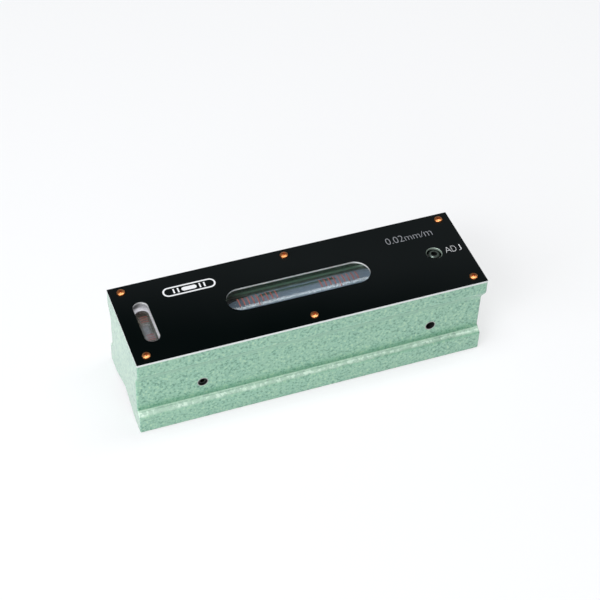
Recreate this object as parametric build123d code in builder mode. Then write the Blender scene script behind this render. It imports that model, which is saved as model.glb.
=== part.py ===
from build123d import *
import os
from math import sqrt

# Level in its own frame: X along the length, Y across, Z up, origin on the base under the middle

# Whole level
length = 150.0
half_length = length / 2
width = 44.0
half_width = width / 2
top_z = 40.5
plate_thickness = 1.0
body_top = top_z - plate_thickness

# Section of the casting
groove_half_width = 14.0
groove_depth = 5.1
base_chamfer = 0.6
foot_edge_z = 9.4
foot_edge_radius = 1.2
ledge_z = 11.0
ledge_step = 0.35
ledge_half_width = 19.7
waist_half_width = 18.5
waist_foot_radius = 0.5
neck_z = 28.0
neck_radius = 2.5
rim_z = 33.3
rim_radius = 2.5
end_chamfer = 0.3

# Pockets under the plate
pocket_left = -53.0
pocket_right = 67.0
pocket_half_width = 10.0
pocket_corner = 3.0
pocket_floor = 12.5
boss_left = 57.6
boss_top = 17.0
cross_x = -64.7
cross_pocket_size = (11.0, 31.0)
cross_pocket_corner = 1.5
cross_pocket_floor = 27.0

# Windows and panes
main_slot_size = (62.0, 12.4)
cross_slot_size = (22.6, 6.25)
slot_chamfer = 0.2
pane_thickness = 1.0
main_pane_size = (68.0, 18.4)
cross_pane_size = (9.6, 28.0)
pane_corner = 1.5
pane_z = body_top - pane_thickness

# Cover screws, M2 with pan heads
screw_spacing = (70.0, 36.4)
screw_radius = 1.0
screw_hole_radius = 1.03
plate_hole_radius = 1.2
screw_head_radius = 1.7
screw_head_side = 0.8
screw_head_height = 1.25
screw_head_edge = 0.3
screw_length = 5.0
screw_hole_depth = 6.5
recess_length = 1.8
recess_width = 0.5
recess_depth = 0.9
recess_taper = 8.0
recess_turn = 23.0

# Adjusting screw, M3 with a socket head, and what it moves
adjuster_x = 60.2
adjuster_access_radius = 3.25
adjuster_mouth_radius = 3.45
adjuster_mouth_angle = 90.0
adjuster_top = 40.3
adjuster_head_radius = 2.2
adjuster_head_height = 3.0
adjuster_head_chamfer = 0.35
adjuster_radius = 1.45
adjuster_length = 25.0
adjuster_hole_radius = 1.5
adjuster_hole_end = 10.8
adjuster_socket = 2.5
adjuster_socket_depth = 1.7
adjuster_seat = adjuster_top - adjuster_head_height
washer_radius = 3.5
washer_hole_radius = 1.6
washer_thickness = 0.47
washer_play = 0.03
arm_play = 0.05
arm_top = adjuster_seat - washer_play - washer_thickness - arm_play

# Main vial
vial_z = 30.9
vial_radius = 7.0
vial_bore = 5.6
vial_half_length = 42.0
vial_end_thickness = 2.0
vial_edge = 0.3
bubble_length = 35.4
bubble_width = 7.2
glass_play = 0.02

# Carrier of the main vial
carrier_left = -52.0
carrier_half_width = 8.5
carrier_foot = 14.0
trough_radius = 7.9
trough_wall = 1.0
trough_top = vial_z + 2.0
trough_end = 44.2
trough_bottom_corner = 5.0
right_block_end = 57.0
block_corner = 1.0
arm_left = 53.0
arm_right = 65.2
arm_half_width = 7.0
arm_bottom = 28.0
arm_hole_radius = 1.8
plaster_inner_end = 35.0
plaster_play = 0.02

# Pivot and side screws, M4 grub screws
pivot_x = -47.3
pivot_z = 17.9
pivot_radius = 1.5
pivot_running_play = 0.05
pivot_seat_play = 0.02
pivot_end = 13.5
side_x = 52.6
side_z = 17.7
grub_radius = 1.98
grub_hole_radius = 2.0
grub_socket = 2.0
grub_socket_depth = 1.6
grub_chamfer = 0.25
pivot_grub_end = 17.7
side_grub_end = 15.6
side_grub_tip_radius = 1.2
side_grub_tip_length = 1.6
side_grub_play = 0.05
hole_mouth = 0.25

# Adjusting spring
spring_radius = 2.55
spring_wire_radius = 0.25
spring_pitch = 1.75
spring_play = 0.02

# Cross vial and its bed
cross_vial_y = -1.8
cross_vial_length = 25.0
cross_vial_radius = 4.25
cross_vial_wall = 0.9
cross_vial_z = 33.75
cross_bubble_size = (7.0, 3.8)
cross_bubble_z = 36.45
cross_bed_top = 36.9
cross_bed_play = 0.02

os.makedirs("parts", exist_ok=True)

# Body: one casting, its half section drawn on the left end, mirrored and run along X
with BuildPart() as body:
    with BuildSketch(Plane.YZ.offset(-half_length)) as section:
        with BuildLine():
            FilletPolyline(
                (0, groove_depth),
                (groove_half_width, 0),
                (half_width - base_chamfer, 0),
                (half_width, base_chamfer),
                (half_width, foot_edge_z),
                (ledge_half_width, ledge_z - ledge_step),
                (ledge_half_width, ledge_z),
                (waist_half_width, ledge_z),
                (waist_half_width, neck_z),
                (half_width, rim_z),
                (half_width, body_top),
                (0, body_top),
                radius=(
                    0,
                    0,
                    0,
                    foot_edge_radius,
                    0,
                    0,
                    waist_foot_radius,
                    neck_radius,
                    rim_radius,
                    0,
                ),
            )
            mirror(about=Plane.YZ)
        make_face()
    extrude(amount=length)
    ends = body.faces().filter_by(Axis.X)
    chamfer(ends.edges(), end_chamfer)

    # Main pocket, deep under the carrier, with a boss for the adjusting screw at its right end
    with BuildSketch(Plane.XY.offset(body_top)):
        with Locations(((pocket_left + pocket_right) / 2, 0)):
            RectangleRounded(pocket_right - pocket_left, 2 * pocket_half_width, pocket_corner)
    extrude(amount=boss_top - body_top, mode=Mode.SUBTRACT)
    with BuildSketch(Plane.XY.offset(boss_top)):
        with Locations(((pocket_left + boss_left) / 2, 0)):
            RectangleRounded(boss_left - pocket_left, 2 * pocket_half_width, pocket_corner)
    extrude(amount=pocket_floor - boss_top, mode=Mode.SUBTRACT)

    # Pocket of the cross vial
    with BuildSketch(Plane.XY.offset(body_top)):
        with Locations((cross_x, 0)):
            RectangleRounded(*cross_pocket_size, cross_pocket_corner)
    extrude(amount=cross_pocket_floor - body_top, mode=Mode.SUBTRACT)

    # Tapped holes of the cover screws and of the adjusting screw
    with Locations(Plane.XY.offset(body_top)):
        with GridLocations(*screw_spacing, 3, 2):
            Hole(screw_hole_radius, depth=screw_hole_depth)
    with Locations((adjuster_x, 0, boss_top)):
        Hole(adjuster_hole_radius, depth=boss_top - adjuster_hole_end)

    # Side holes: a reamed seat for the pivot pin, tapped outside it, and tapped holes at the right
    with BuildSketch(Plane.XZ):
        with Locations((pivot_x, pivot_z)):
            Circle(pivot_radius + pivot_seat_play)
        with Locations((side_x, side_z)):
            Circle(grub_hole_radius)
    extrude(amount=half_width, both=True, mode=Mode.SUBTRACT)
    for side in (-1, 1):
        with BuildSketch(Plane.XZ.offset(side * pivot_end)):
            with Locations((pivot_x, pivot_z)):
                Circle(grub_hole_radius)
        extrude(amount=side * (half_width - pivot_end), mode=Mode.SUBTRACT)
    rings = body.edges().filter_by(GeomType.CIRCLE).filter_by_position(Axis.Z, ledge_z, neck_z)
    front_to_back = rings.group_by(Axis.Y)
    chamfer(front_to_back[0] + front_to_back[-1], hole_mouth)
body.part.label = "body"
export_step(body.part, "parts/body.step")

# Cover plate: rounded windows, the adjuster's hole with its wide mouth, and the screw holes
with BuildPart() as cover_plate:
    with BuildSketch(Plane.XY.offset(body_top)):
        Rectangle(length, width)
        SlotOverall(*main_slot_size, mode=Mode.SUBTRACT)
        with Locations((cross_x, 0)):
            SlotOverall(*cross_slot_size, rotation=90, mode=Mode.SUBTRACT)
    extrude(amount=plate_thickness)
    plate_face = cover_plate.faces().sort_by(Axis.Z)[-1]
    chamfer(plate_face.inner_wires().edges(), slot_chamfer)
    with Locations(Plane.XY.offset(top_z)):
        with GridLocations(*screw_spacing, 3, 2):
            Hole(plate_hole_radius, depth=plate_thickness)
    with Locations((adjuster_x, 0, top_z)):
        CounterSinkHole(
            adjuster_access_radius,
            adjuster_mouth_radius,
            depth=plate_thickness,
            counter_sink_angle=adjuster_mouth_angle,
        )
cover_plate.part.label = "cover_plate"
export_step(cover_plate.part, "parts/cover_plate.step")

# One cover screw, then the six of them, each turned as it was driven home
with BuildPart() as cover_screw:
    crown_rise = screw_head_height - screw_head_side
    crown_radius = (screw_head_radius**2 + crown_rise**2) / (2 * crown_rise)
    with BuildSketch(Plane.XZ):
        with BuildLine():
            Polyline(
                (0, top_z + screw_head_height),
                (0, top_z - screw_length),
                (screw_radius, top_z - screw_length),
                (screw_radius, top_z),
                (screw_head_radius, top_z),
                (screw_head_radius, top_z + screw_head_side),
            )
            RadiusArc(
                (screw_head_radius, top_z + screw_head_side),
                (0, top_z + screw_head_height),
                -crown_radius,
            )
        make_face()
    revolve(axis=Axis.Z)
    rims = cover_screw.edges().filter_by(lambda edge: edge.is_closed)
    fillet(rims.sort_by(Axis.Z)[-1], screw_head_edge)
    with BuildSketch(Plane.XY.offset(top_z + screw_head_height)):
        Rectangle(recess_length, recess_width)
        Rectangle(recess_width, recess_length)
    extrude(amount=-recess_depth, taper=recess_taper, mode=Mode.SUBTRACT)

with BuildPart() as cover_screws:
    screw_places = GridLocations(*screw_spacing, 3, 2).local_locations
    for turn, place in enumerate(screw_places):
        with Locations(place):
            add(cover_screw.part, rotation=(0, 0, recess_turn * turn))
cover_screws.part.label = "cover_screws"
export_step(cover_screws.part, "parts/cover_screws.step")

# Clear panes, cemented under the plate
with BuildPart() as main_window_pane:
    with BuildSketch(Plane.XY.offset(pane_z)):
        RectangleRounded(*main_pane_size, pane_corner)
    extrude(amount=pane_thickness)
main_window_pane.part.label = "main_window_pane"
export_step(main_window_pane.part, "parts/main_window_pane.step")

with BuildPart() as cross_window_pane:
    with BuildSketch(Plane.XY.offset(pane_z)):
        with Locations((cross_x, 0)):
            RectangleRounded(*cross_pane_size, pane_corner)
    extrude(amount=pane_thickness)
cross_window_pane.part.label = "cross_window_pane"
export_step(cross_window_pane.part, "parts/cross_window_pane.step")

# Carrier: a trough for the vial between two deep end blocks, and an arm under the adjusting screw
with BuildPart() as vial_carrier:
    trough_half_width = trough_radius + trough_wall
    trough_bottom = vial_z - trough_half_width
    with BuildSketch(Plane.YZ.offset(-trough_end)) as trough_section:
        with Locations((0, (trough_bottom + trough_top) / 2)):
            Rectangle(2 * trough_half_width, trough_top - trough_bottom)
        fillet(trough_section.vertices().group_by(Axis.Y)[0], trough_bottom_corner)
    extrude(amount=2 * trough_end)
    for start, end in ((carrier_left, -trough_end), (trough_end, right_block_end)):
        with BuildSketch(Plane.XY.offset(carrier_foot)):
            with Locations(((start + end) / 2, 0)):
                RectangleRounded(end - start, 2 * carrier_half_width, block_corner)
        extrude(amount=trough_top - carrier_foot)
    with BuildSketch(Plane.XY.offset(arm_bottom)):
        with Locations(((arm_left + arm_right) / 2, 0)):
            RectangleRounded(arm_right - arm_left, 2 * arm_half_width, 2 * block_corner)
    extrude(amount=arm_top - arm_bottom)
    with BuildSketch(Plane.YZ.offset(-trough_end)):
        with Locations((0, vial_z)):
            Circle(trough_radius)
    extrude(amount=2 * trough_end, mode=Mode.SUBTRACT)
    with BuildSketch(Plane.XZ):
        with Locations((pivot_x, pivot_z)):
            Circle(pivot_radius + pivot_running_play)
    extrude(amount=half_width, both=True, mode=Mode.SUBTRACT)
    with Locations((adjuster_x, 0, arm_top)):
        Hole(arm_hole_radius, depth=arm_top - arm_bottom)
vial_carrier.part.label = "vial_carrier"
export_step(vial_carrier.part, "parts/vial_carrier.step")

# Main vial: a glass tube, with a disc cemented on each end
with BuildPart() as main_vial:
    with BuildSketch(Plane.YZ):
        with Locations((0, vial_z)):
            Circle(vial_radius)
            Circle(vial_bore, mode=Mode.SUBTRACT)
    extrude(amount=vial_half_length, both=True)
main_vial.part.label = "main_vial"
export_step(main_vial.part, "parts/main_vial.step")

for name, side in (("main_vial_end_left", -1), ("main_vial_end_right", 1)):
    with BuildPart() as end_disc:
        with BuildSketch(Plane.YZ.offset(side * vial_half_length)):
            with Locations((0, vial_z)):
                Circle(vial_radius)
        extrude(amount=side * vial_end_thickness)
        outer_face = end_disc.faces().sort_by(Axis.X)[0 if side < 0 else -1]
        chamfer(outer_face.edges(), vial_edge)
    end_disc.part.label = name
    export_step(end_disc.part, f"parts/{name}.step")

# Spirit of the main vial, level under its bubble
with BuildPart() as main_vial_fluid:
    fluid_radius = vial_bore - glass_play
    bubble_z = vial_z + sqrt(fluid_radius**2 - (bubble_width / 2) ** 2)
    with BuildSketch(Plane.YZ):
        with Locations((0, vial_z)):
            Circle(fluid_radius)
    extrude(amount=vial_half_length - glass_play, both=True)
    with BuildSketch(Plane.XY.offset(bubble_z)):
        SlotOverall(bubble_length, bubble_width)
    extrude(amount=vial_radius, mode=Mode.SUBTRACT)
main_vial_fluid.part.label = "main_vial_fluid"
export_step(main_vial_fluid.part, "parts/main_vial_fluid.step")

# Plaster between the vial's ends and the trough
for name, side in (("main_vial_plaster_left", -1), ("main_vial_plaster_right", 1)):
    with BuildPart() as plaster:
        with BuildSketch(Plane.YZ.offset(side * plaster_inner_end)):
            with Locations((0, vial_z)):
                Circle(trough_radius - plaster_play)
            with Locations((0, trough_top)):
                Rectangle(width, width, align=(Align.CENTER, Align.MIN), mode=Mode.SUBTRACT)
            with Locations((0, vial_z)):
                Circle(vial_radius + plaster_play, mode=Mode.SUBTRACT)
        extrude(amount=side * (vial_half_length - plaster_inner_end))
    plaster.part.label = name
    export_step(plaster.part, f"parts/{name}.step")

# Pivot pin: a dowel across the casting, through the carrier's left block
with BuildPart() as pivot_pin:
    with BuildSketch(Plane.XZ):
        with Locations((pivot_x, pivot_z)):
            Circle(pivot_radius)
    extrude(amount=pivot_end, both=True)
    chamfer(pivot_pin.edges().filter_by(GeomType.CIRCLE), grub_chamfer)
pivot_pin.part.label = "pivot_pin"
export_step(pivot_pin.part, "parts/pivot_pin.step")

# Grub screws that hold the pivot pin, one in each side
with BuildPart() as pivot_set_screws:
    for side in (-1, 1):
        with BuildSketch(Plane.XZ.offset(side * pivot_end)):
            with Locations((pivot_x, pivot_z)):
                Circle(grub_radius)
        extrude(amount=side * (pivot_grub_end - pivot_end))
    chamfer(pivot_set_screws.edges().filter_by(GeomType.CIRCLE), grub_chamfer)
    for side in (-1, 1):
        with BuildSketch(Plane.XZ.offset(side * pivot_grub_end)):
            with Locations((pivot_x, pivot_z)):
                RegularPolygon(grub_socket / 2, 6, major_radius=False)
        extrude(amount=-side * grub_socket_depth, mode=Mode.SUBTRACT)
pivot_set_screws.part.label = "pivot_set_screws"
export_step(pivot_set_screws.part, "parts/pivot_set_screws.step")

# Grub screws that guide the carrier's right block sideways, with dog points
with BuildPart() as side_set_screws:
    tip_start = carrier_half_width + side_grub_play
    tip_end = tip_start + side_grub_tip_length
    for side in (-1, 1):
        with BuildSketch(Plane.XZ.offset(side * tip_end)):
            with Locations((side_x, side_z)):
                Circle(grub_radius)
        extrude(amount=side * (side_grub_end - tip_end))
    chamfer(side_set_screws.edges().filter_by(GeomType.CIRCLE), grub_chamfer)
    for side in (-1, 1):
        with BuildSketch(Plane.XZ.offset(side * tip_start)):
            with Locations((side_x, side_z)):
                Circle(side_grub_tip_radius)
        extrude(amount=side * side_grub_tip_length)
        with BuildSketch(Plane.XZ.offset(side * side_grub_end)):
            with Locations((side_x, side_z)):
                RegularPolygon(grub_socket / 2, 6, major_radius=False)
        extrude(amount=-side * grub_socket_depth, mode=Mode.SUBTRACT)
side_set_screws.part.label = "side_set_screws"
export_step(side_set_screws.part, "parts/side_set_screws.step")

# Adjusting screw: a socket head that clears its hole in the plate, and a plain shank for the thread
with BuildPart() as adjusting_screw:
    with BuildSketch(Plane.XY.offset(adjuster_seat)):
        with Locations((adjuster_x, 0)):
            Circle(adjuster_head_radius)
    extrude(amount=adjuster_head_height)
    chamfer(adjusting_screw.faces().sort_by(Axis.Z)[-1].edges(), adjuster_head_chamfer)
    with BuildSketch(Plane.XY.offset(adjuster_seat)):
        with Locations((adjuster_x, 0)):
            Circle(adjuster_radius)
    extrude(amount=-adjuster_length)
    chamfer(adjusting_screw.faces().sort_by(Axis.Z)[0].edges(), adjuster_head_chamfer)
    with BuildSketch(Plane.XY.offset(adjuster_top)):
        with Locations((adjuster_x, 0)):
            RegularPolygon(adjuster_socket / 2, 6, major_radius=False)
    extrude(amount=-adjuster_socket_depth, mode=Mode.SUBTRACT)
adjusting_screw.part.label = "adjusting_screw"
export_step(adjusting_screw.part, "parts/adjusting_screw.step")

# Washer between the screw's head and the carrier's arm
with BuildPart() as thrust_washer:
    with BuildSketch(Plane.XY.offset(arm_top + arm_play)):
        with Locations((adjuster_x, 0)):
            Circle(washer_radius)
            Circle(washer_hole_radius, mode=Mode.SUBTRACT)
    extrude(amount=washer_thickness)
thrust_washer.part.label = "thrust_washer"
export_step(thrust_washer.part, "parts/thrust_washer.step")

# Spring that keeps the arm up against the washer, from the boss to the arm
with BuildPart() as adjusting_spring:
    spring_start = boss_top + spring_play + spring_wire_radius
    spring_height = arm_bottom - spring_play - spring_wire_radius - spring_start
    with BuildLine():
        coil = Helix(
            pitch=spring_pitch,
            height=spring_height,
            radius=spring_radius,
            center=(adjuster_x, 0, spring_start),
        )
    with BuildSketch(Plane(origin=coil @ 0, z_dir=coil % 0)):
        Circle(spring_wire_radius)
    sweep(path=coil, is_frenet=True)
adjusting_spring.part.label = "adjusting_spring"
export_step(adjusting_spring.part, "parts/adjusting_spring.step")

# Cross vial: a glass capsule with blown round ends
def turned_capsule(overall_length, radius):
    """A solid capsule on the cross vial's axis, turned from half its outline."""
    with BuildPart() as capsule:
        with BuildSketch(Plane.XY.offset(cross_vial_z)):
            with Locations((cross_x, cross_vial_y)):
                SlotOverall(overall_length, 2 * radius, rotation=90)
                Rectangle(
                    2 * radius,
                    overall_length,
                    align=(Align.MAX, Align.CENTER),
                    mode=Mode.SUBTRACT,
                )
        revolve(axis=Axis((cross_x, cross_vial_y, cross_vial_z), (0, 1, 0)))
    return capsule.part


cross_bore = cross_vial_radius - cross_vial_wall
cross_bore_length = cross_vial_length - 2 * cross_vial_wall
glass_outside = turned_capsule(cross_vial_length, cross_vial_radius)
glass_inside = turned_capsule(cross_bore_length, cross_bore)
with BuildPart() as cross_vial:
    add(glass_outside)
    add(glass_inside, mode=Mode.SUBTRACT)
cross_vial.part.label = "cross_vial"
export_step(cross_vial.part, "parts/cross_vial.step")

# Spirit of the cross vial, level under its bubble
spirit = turned_capsule(cross_bore_length - 2 * glass_play, cross_bore - glass_play)
with BuildPart() as cross_vial_fluid:
    add(spirit)
    with BuildSketch(Plane.XY.offset(cross_bubble_z)):
        with Locations((cross_x, cross_vial_y)):
            SlotOverall(*cross_bubble_size, rotation=90)
    extrude(amount=cross_vial_radius, mode=Mode.SUBTRACT)
cross_vial_fluid.part.label = "cross_vial_fluid"
export_step(cross_vial_fluid.part, "parts/cross_vial_fluid.step")

# Plaster bed that fills the cross pocket round the vial
vial_bed = turned_capsule(
    cross_vial_length + 2 * cross_bed_play, cross_vial_radius + cross_bed_play
)
with BuildPart() as cross_vial_plaster:
    with BuildSketch(Plane.XY.offset(cross_pocket_floor)):
        with Locations((cross_x, 0)):
            RectangleRounded(*cross_pocket_size, cross_pocket_corner)
    extrude(amount=cross_bed_top - cross_pocket_floor)
    add(vial_bed, mode=Mode.SUBTRACT)
cross_vial_plaster.part.label = "cross_vial_plaster"
export_step(cross_vial_plaster.part, "parts/cross_vial_plaster.step")
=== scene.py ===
"""Finishes, print, graduations, studio and camera of the precision machinist level.

Everything is in metres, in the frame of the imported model: +X runs along the level towards the
adjusting screw, +Y to its back and +Z up through the cover plate.
"""

import logging
import math
from collections.abc import Iterable, Sequence
from dataclasses import dataclass, field
from enum import Enum
from functools import cached_property

import bmesh
import bpy
from mathutils import Matrix, Vector


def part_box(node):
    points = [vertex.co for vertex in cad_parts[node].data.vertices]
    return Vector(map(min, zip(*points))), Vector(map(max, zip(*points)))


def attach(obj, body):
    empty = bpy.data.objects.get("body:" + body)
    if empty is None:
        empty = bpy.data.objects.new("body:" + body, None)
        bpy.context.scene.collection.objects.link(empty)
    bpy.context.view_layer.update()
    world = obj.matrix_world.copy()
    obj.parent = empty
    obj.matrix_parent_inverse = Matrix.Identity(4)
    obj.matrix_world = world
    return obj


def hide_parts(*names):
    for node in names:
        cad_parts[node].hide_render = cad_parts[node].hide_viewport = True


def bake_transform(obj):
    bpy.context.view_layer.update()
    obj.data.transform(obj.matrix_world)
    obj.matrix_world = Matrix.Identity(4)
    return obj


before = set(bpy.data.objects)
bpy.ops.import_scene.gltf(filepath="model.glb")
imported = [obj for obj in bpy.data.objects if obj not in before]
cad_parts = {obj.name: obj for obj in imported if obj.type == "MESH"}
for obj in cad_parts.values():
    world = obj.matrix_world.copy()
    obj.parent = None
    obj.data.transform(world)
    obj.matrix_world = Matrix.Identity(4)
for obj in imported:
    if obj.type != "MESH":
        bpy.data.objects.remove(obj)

LOG = logging.getLogger("level")
MM = 0.001
WELD = 1e-7

Colour = tuple[float, float, float]
Point2 = tuple[float, float]
Point3 = tuple[float, float, float]
Span = tuple[float, float]


class Body(Enum):
    """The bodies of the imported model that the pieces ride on."""

    LEVEL = "level"
    CARRIER = "carrier"
    WASHER = "washer"


class Slot(Enum):
    """The record's material slots that new pieces take their finish from."""

    PLATE = "plate_black"
    GLASS = "vial_glass"
    SPIRIT = "vial_fluid"
    STEEL = "pin_steel"


class Axis(Enum):
    """The directions in which the tint of glass can fade."""

    ALONG = 0
    ACROSS = 1


def linear(level: int) -> float:
    """Return an 8-bit display level in linear light."""
    value = level / 255
    return value / 12.92 if value <= 0.04045 else ((value + 0.055) / 1.055) ** 2.4


def srgb(red: int, green: int, blue: int) -> Colour:
    """Return the linear colour of an 8-bit display colour."""
    return linear(red), linear(green), linear(blue)


class Signal:
    """An output socket that is written in formulas like a number."""

    def __init__(self, tree: "ShaderTree", socket: bpy.types.NodeSocket) -> None:
        """Hold a socket and the tree that it belongs to."""
        self.tree = tree
        self.socket = socket

    def _maths(self, operation: str, *terms: "Signal | float") -> "Signal":
        """Return a Math node of the terms, in their order."""
        return self.tree.node("ShaderNodeMath", {"operation": operation}, dict(enumerate(terms)))

    def __add__(self, other: "Signal | float") -> "Signal":
        """Return self + other."""
        return self._maths("ADD", self, other)

    def __radd__(self, other: float) -> "Signal":
        """Return other + self."""
        return self._maths("ADD", other, self)

    def __sub__(self, other: "Signal | float") -> "Signal":
        """Return self - other."""
        return self._maths("SUBTRACT", self, other)

    def __rsub__(self, other: float) -> "Signal":
        """Return other - self."""
        return self._maths("SUBTRACT", other, self)

    def __mul__(self, other: "Signal | float") -> "Signal":
        """Return self * other."""
        return self._maths("MULTIPLY", self, other)

    def __rmul__(self, other: float) -> "Signal":
        """Return other * self."""
        return self._maths("MULTIPLY", other, self)

    def __abs__(self) -> "Signal":
        """Return the distance from zero."""
        return self._maths("ABSOLUTE", self)

    def least(self, other: "Signal | float") -> "Signal":
        """Return the smaller of the two."""
        return self._maths("MINIMUM", self, other)

    def most(self, other: "Signal | float") -> "Signal":
        """Return the larger of the two."""
        return self._maths("MAXIMUM", self, other)

    def hypot(self, other: "Signal") -> "Signal":
        """Return the length of two distances at right angles."""
        return self._maths("SQRT", self * self + other * other)

    def between(self, low: float, high: float) -> "Signal":
        """Return low where the signal is 0 and high where it is 1."""
        return low + self * (high - low)

    def about(self, middle: float, spread: float) -> "Signal":
        """Return a value that a noise signal moves about a middle."""
        return middle + (self - 0.5) * spread

    def rise(self, span: Span, edge: float = 0.0) -> "Signal":
        """Return a smooth step from 0 to 1.

        Args:
            span: Values where it is 0 and where it is 1; it falls if the first is the larger.
            edge: Where the span is counted from.

        Returns:
            The step, with 0 or 1 beyond the span.
        """
        zero, one = edge + span[0], edge + span[1]
        step = self.tree.node(
            "ShaderNodeMapRange",
            {"interpolation_type": "SMOOTHSTEP"},
            {"Value": self, "From Min": min(zero, one), "From Max": max(zero, one)},
        )
        return 1.0 - step if zero > one else step

    def band(self, low: Span, high: Span, edge: float = 0.0) -> "Signal":
        """Return 1 between two soft limits that are counted from an edge, and 0 outside them."""
        return self.rise(low, edge) * self.rise(high, edge)


@dataclass(frozen=True)
class Grain:
    """A noise pattern: its features to a metre, how they break up and how much finer each axis is."""

    scale: float
    detail: float
    roughness: float
    squeeze: Point3 | None = None


class ShaderTree:
    """The node tree of a material or world, with one method for every kind of node."""

    def __init__(self, owner: bpy.types.Material | bpy.types.World) -> None:
        """Take the owner's node tree and empty it.

        Args:
            owner: The material or world.
        """
        owner.use_nodes = True
        self.nodes = owner.node_tree.nodes
        self.links = owner.node_tree.links
        self.nodes.clear()

    def add(
        self,
        kind: str,
        settings: dict[str, object] | None = None,
        values: dict[str | int, "Signal | float | Sequence[float]"] | None = None,
    ) -> bpy.types.Node:
        """Add a node.

        Args:
            kind: The node's type.
            settings: Its properties, set before its sockets.
            values: Numbers, colours or signals for its input sockets.

        Returns:
            The node.
        """
        made = self.nodes.new(kind)
        for key, value in (settings or {}).items():
            setattr(made, key, value)
        for key, value in (values or {}).items():
            socket = made.inputs[key]
            if isinstance(value, Signal):
                self.links.new(value.socket, socket)
            elif socket.type == "RGBA":
                socket.default_value = (*value, 1.0)
            else:
                socket.default_value = value
        return made

    def node(
        self,
        kind: str,
        settings: dict[str, object] | None = None,
        values: dict[str | int, "Signal | float | Sequence[float]"] | None = None,
        output: str | int = 0,
    ) -> Signal:
        """Add a node as add does and return one of its outputs."""
        return Signal(self, self.add(kind, settings, values).outputs[output])

    @cached_property
    def place(self) -> Signal:
        """Return the point's place on the piece, in metres."""
        return self.node("ShaderNodeTexCoord", output="Object")

    @cached_property
    def facing(self) -> Signal:
        """Return the surface's direction, fixed to the piece."""
        return self.node("ShaderNodeTexCoord", output="Normal")

    def parts(self, vector: Signal) -> tuple[Signal, ...]:
        """Return a vector's three components."""
        outputs = self.add("ShaderNodeSeparateXYZ", values={"Vector": vector}).outputs
        return tuple(Signal(self, output) for output in outputs)

    def noise(self, grain: Grain) -> Signal:
        """Return a pattern's noise over the piece.

        Args:
            grain: The pattern.

        Returns:
            The noise, from 0 to 1.
        """
        place = self.place
        if grain.squeeze:
            factors = {0: place, 1: grain.squeeze}
            place = self.node("ShaderNodeVectorMath", {"operation": "MULTIPLY"}, factors)
        values = {"Scale": grain.scale, "Detail": grain.detail, "Roughness": grain.roughness}
        return self.node("ShaderNodeTexNoise", values={"Vector": place, **values})

    def mix(self, mask: Signal, first: "Signal | Colour", second: "Signal | Colour") -> Signal:
        """Return the first colour where mask is 0 and the second where it is 1."""
        return self.node("ShaderNodeMix", {"data_type": "RGBA"}, {0: mask, 6: first, 7: second}, 2)

    def bump(self, height: Signal, distance: float, strength: float) -> Signal:
        """Return a normal bent by a height from 0 to 1, as deep as distance in metres."""
        values = {"Height": height, "Distance": distance, "Strength": strength}
        return self.node("ShaderNodeBump", values=values)

    def principled(self, **values: "Signal | float | Colour") -> Signal:
        """Return a Principled shader, its sockets named with underscores for spaces."""
        named = {key.replace("_", " "): value for key, value in values.items()}
        return self.node("ShaderNodeBsdfPrincipled", values=named)


@dataclass(frozen=True)
class Finish:
    """A surface finish; each kind paints itself in build."""

    name: str

    def build(self, tree: ShaderTree) -> Signal:
        """Return the finish's shader."""
        raise NotImplementedError

    def material(self) -> bpy.types.Material:
        """Make the finish's material.

        Returns:
            The material.
        """
        material = bpy.data.materials.new(self.name)
        tree = ShaderTree(material)
        tree.add("ShaderNodeOutputMaterial", values={"Surface": self.build(tree)})
        return material


@dataclass(frozen=True)
class Spot:
    """A point of the casting: how far along it, out from its middle plane and up it is."""

    x: Signal
    depth: Signal
    z: Signal


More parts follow.
